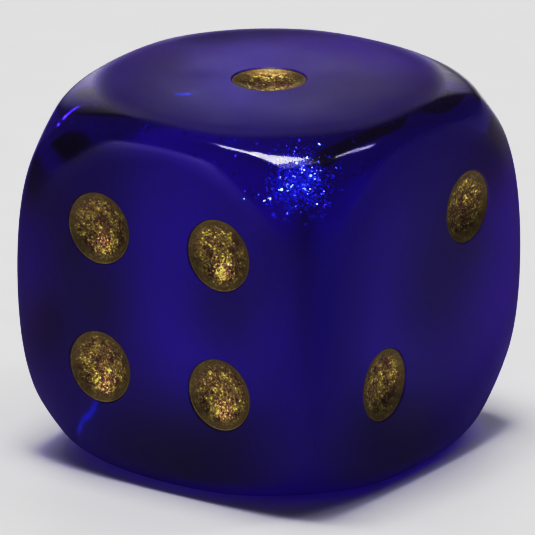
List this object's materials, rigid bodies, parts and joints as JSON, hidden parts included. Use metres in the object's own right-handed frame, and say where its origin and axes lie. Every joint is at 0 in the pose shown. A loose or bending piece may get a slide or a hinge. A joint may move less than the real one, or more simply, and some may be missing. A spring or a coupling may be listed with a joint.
{
  "type": "casino die",
  "caption": "Translucent blue resin die with ball-rounded corners, dished pips lined with gold paint, and glitter cast into the resin.",
  "frame": {"origin": "centre of the die, midway between each pair of opposite flat faces", "axes": "+Z out of the one-pip face, +X out of the two-pip face, -Y out of the four-pip face; it stands on the six-pip face"},
  "size_m": [0.016, 0.016, 0.016],
  "materials": {
    "resin": "clear deep blue-violet casting resin, polished corners, satin flat faces",
    "gold_paint": "granular metallic gold paint",
    "glitter": "mirror-bright blue metallised film"
  },
  "bodies": {
    "root": {"resin_body": "resin", "pip_1_centre": "gold_paint", "pip_2_upper_right": "gold_paint", "pip_2_lower_left": "gold_paint", "pip_3_upper_left": "gold_paint", "pip_3_centre": "gold_paint", "pip_3_lower_right": "gold_paint", "pip_4_upper_left": "gold_paint", "pip_4_upper_right": "gold_paint", "pip_4_lower_left": "gold_paint", "pip_4_lower_right": "gold_paint", "pip_5_upper_left": "gold_paint", "pip_5_upper_right": "gold_paint", "pip_5_centre": "gold_paint", "pip_5_lower_left": "gold_paint", "pip_5_lower_right": "gold_paint", "pip_6_upper_left": "gold_paint", "pip_6_middle_left": "gold_paint", "pip_6_lower_left": "gold_paint", "pip_6_upper_right": "gold_paint", "pip_6_middle_right": "gold_paint", "pip_6_lower_right": "gold_paint", "glitter_flakes": "glitter"}
  },
  "joints": []
}
